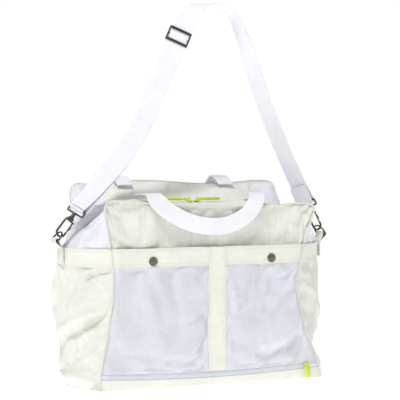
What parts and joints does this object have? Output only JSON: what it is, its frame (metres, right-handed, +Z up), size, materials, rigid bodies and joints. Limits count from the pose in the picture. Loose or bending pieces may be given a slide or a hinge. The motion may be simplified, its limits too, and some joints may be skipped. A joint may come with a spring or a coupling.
{
  "type": "racket tote bag",
  "caption": "Soft zipped tote bag for racket sports with a snap-closed front pocket, carrying handles and an adjustable shoulder strap on swivel hooks.",
  "frame": {"origin": "middle of the base, on the surface that the bag stands on", "axes": "+X across the bag to its right as seen from the front, +Y towards its back, +Z up"},
  "size_m": [0.5858, 0.2186, 0.7469],
  "materials": {
    "ivory_nylon": "crinkled lightweight nylon, soft satin",
    "grey_nylon": "smooth lightweight nylon, faint lilac grey",
    "lilac_nylon": "soft white nylon, matte",
    "twill_band": "ivory twill tape with twin stitching",
    "webbing": "white woven webbing",
    "zip_tape": "pale woven zip tape and nylon coil",
    "gunmetal": "dark gunmetal plating, satin",
    "lime_paint": "lime yellow paint, satin",
    "base_board": "plain stiffening board"
  },
  "bodies": {
    "bag": {"base_panel": "ivory_nylon", "base_board": "base_board", "front_wall": "ivory_nylon", "rear_wall": "ivory_nylon", "rear_sleeve_panel": "grey_nylon", "rear_sleeve_band": "twill_band", "gusset_left": "ivory_nylon", "gusset_right": "ivory_nylon", "gusset_band_left": "twill_band", "gusset_band_right": "twill_band", "front_base_strip": "twill_band", "base_zip_tape": "zip_tape", "base_zip_chain": "zip_tape", "pocket_panel_lower": "grey_nylon", "centre_band_lower": "twill_band", "snap_stud_left": "gunmetal", "snap_stud_right": "gunmetal", "front_piping_left": "twill_band", "front_piping_right": "twill_band", "ring_tab_left": "twill_band", "ring_tab_right": "twill_band"},
    "pocket_mouth": {"pocket_panel_upper": "grey_nylon", "pocket_hem_band": "twill_band", "centre_band_upper": "twill_band", "snap_cap_left": "gunmetal", "snap_cap_right": "gunmetal", "snap_socket_left": "gunmetal", "snap_socket_right": "gunmetal"},
    "mouth_front": {"front_panel_upper": "ivory_nylon", "top_strip_front": "lilac_nylon", "zip_tape_front": "zip_tape", "zip_coil_front": "zip_tape", "front_piping_upper": "twill_band"},
    "mouth_rear": {"rear_panel_upper": "ivory_nylon", "top_strip_rear": "lilac_nylon", "zip_tape_rear": "zip_tape", "zip_coil_rear": "zip_tape", "rear_piping_upper": "twill_band"},
    "front_handle": {"front_handle": "webbing"},
    "rear_handle": {"rear_handle": "webbing"},
    "zip_slider_left": {"zip_slider_left": "lime_paint"},
    "zip_slider_right": {"zip_slider_right": "lime_paint"},
    "zip_pull_left": {"zip_pull_left": "lime_paint"},
    "zip_pull_right": {"zip_pull_right": "lime_paint"},
    "base_zip_slider": {"base_zip_slider": "lime_paint"},
    "base_zip_pull": {"base_zip_pull": "lime_paint"},
    "strap": {"shoulder_strap": "webbing", "strap_return": "webbing", "hook_eye_left": "gunmetal", "hook_eye_right": "gunmetal"},
    "strap_adjuster": {"strap_adjuster": "gunmetal"},
    "hook_left": {"hook_left": "gunmetal"},
    "hook_right": {"hook_right": "gunmetal"},
    "hook_gate_left": {"hook_gate_left": "gunmetal"},
    "hook_gate_right": {"hook_gate_right": "gunmetal"},
    "d_ring_left": {"d_ring_left": "gunmetal"},
    "d_ring_right": {"d_ring_right": "gunmetal"}
  },
  "joints": [
    {"name": "pocket_open", "type": "hinge", "parent": "bag", "child": "pocket_mouth", "pos_m": [0, -0.0995, 0.12015], "axis": [1, 0, 0], "range_deg": [0, 12]},
    {"name": "mouth_front_open", "type": "hinge", "parent": "bag", "child": "mouth_front", "pos_m": [0, -0.0955, 0.268], "axis": [1, 0, 0], "range_deg": [0, 8]},
    {"name": "mouth_rear_open", "type": "hinge", "parent": "bag", "child": "mouth_rear", "pos_m": [0, 0.0965, 0.268], "axis": [-1, 0, 0], "range_deg": [0, 8]},
    {"name": "front_handle_lift", "type": "hinge", "parent": "mouth_front", "child": "front_handle", "pos_m": [0, -0.084, 0.3698], "axis": [-1, 0, 0], "range_deg": [0, 170]},
    {"name": "rear_handle_lift", "type": "hinge", "parent": "mouth_rear", "child": "rear_handle", "pos_m": [0, 0.092, 0.3998], "axis": [1, 0, 0], "range_deg": [0, 170]},
    {"name": "zip_left_run", "type": "slide", "parent": "mouth_front", "child": "zip_slider_left", "axis": [-1, 0, 0], "range_m": [0, 0.088]},
    {"name": "zip_right_run", "type": "slide", "parent": "mouth_front", "child": "zip_slider_right", "axis": [1, 0, 0], "range_m": [0, 0.088]},
    {"name": "zip_pull_left_lift", "type": "hinge", "parent": "zip_slider_left", "child": "zip_pull_left", "pos_m": [-0.009, 0, 0.3578], "axis": [0, 1, 0], "range_deg": [0, 45]},
    {"name": "zip_pull_right_lift", "type": "hinge", "parent": "zip_slider_right", "child": "zip_pull_right", "pos_m": [0.009, 0, 0.3578], "axis": [0, -1, 0], "range_deg": [0, 45]},
    {"name": "base_zip_run", "type": "slide", "parent": "bag", "child": "base_zip_slider", "axis": [-1, 0, 0], "range_m": [0, 0.4]},
    {"name": "base_zip_pull_lift", "type": "hinge", "parent": "base_zip_slider", "child": "base_zip_pull", "pos_m": [0.203, -0.1058, 0.026], "axis": [-1, 0, 0], "range_deg": [0, 150]},
    {"name": "d_ring_left_turn", "type": "hinge", "parent": "bag", "child": "d_ring_left", "pos_m": [-0.288, 0, 0.282], "axis": [0, 1, 0], "range_deg": [-3, 3]},
    {"name": "d_ring_right_turn", "type": "hinge", "parent": "bag", "child": "d_ring_right", "pos_m": [0.288, 0, 0.282], "axis": [0, 1, 0], "range_deg": [-3, 3]},
    {"name": "strap_swing", "type": "hinge", "parent": "bag", "child": "strap", "pos_m": [-0.27607, 0, 0.29711], "axis": [1, 0, 0.0032], "range_deg": [-6, 6]},
    {"name": "adjuster_run", "type": "slide", "parent": "strap", "child": "strap_adjuster", "axis": [0.4072, 0, 0.9134], "range_m": [-0.12, 0], "deforming": ["strap_return"]},
    {"name": "hook_left_swivel", "type": "hinge", "parent": "strap", "child": "hook_left", "pos_m": [-0.27607, 0, 0.29711], "axis": [0.6198, 0, 0.7848], "range_deg": [-3, 3]},
    {"name": "hook_right_swivel", "type": "hinge", "parent": "strap", "child": "hook_right", "pos_m": [0.27876, 0, 0.29889], "axis": [-0.4801, 0, 0.8772], "range_deg": [-3, 3]},
    {"name": "hook_left_gate_press", "type": "hinge", "parent": "hook_left", "child": "hook_gate_left", "pos_m": [-0.25359, 0, 0.31185], "axis": [0, 1, 0], "range_deg": [0, 22], "stiffness_Nm_per_rad": 0.02},
    {"name": "hook_right_gate_press", "type": "hinge", "parent": "hook_right", "child": "hook_gate_right", "pos_m": [0.27397, 0, 0.32534], "axis": [0, 1, 0], "range_deg": [0, 22], "stiffness_Nm_per_rad": 0.02}
  ],
  "couplings": [
    {"joint": "mouth_rear_open", "follows": "mouth_front_open", "ratio": 1},
    {"joint": "zip_left_run", "follows": "mouth_front_open", "m_per_rad": 0.63},
    {"joint": "zip_right_run", "follows": "mouth_front_open", "m_per_rad": 0.63}
  ]
}
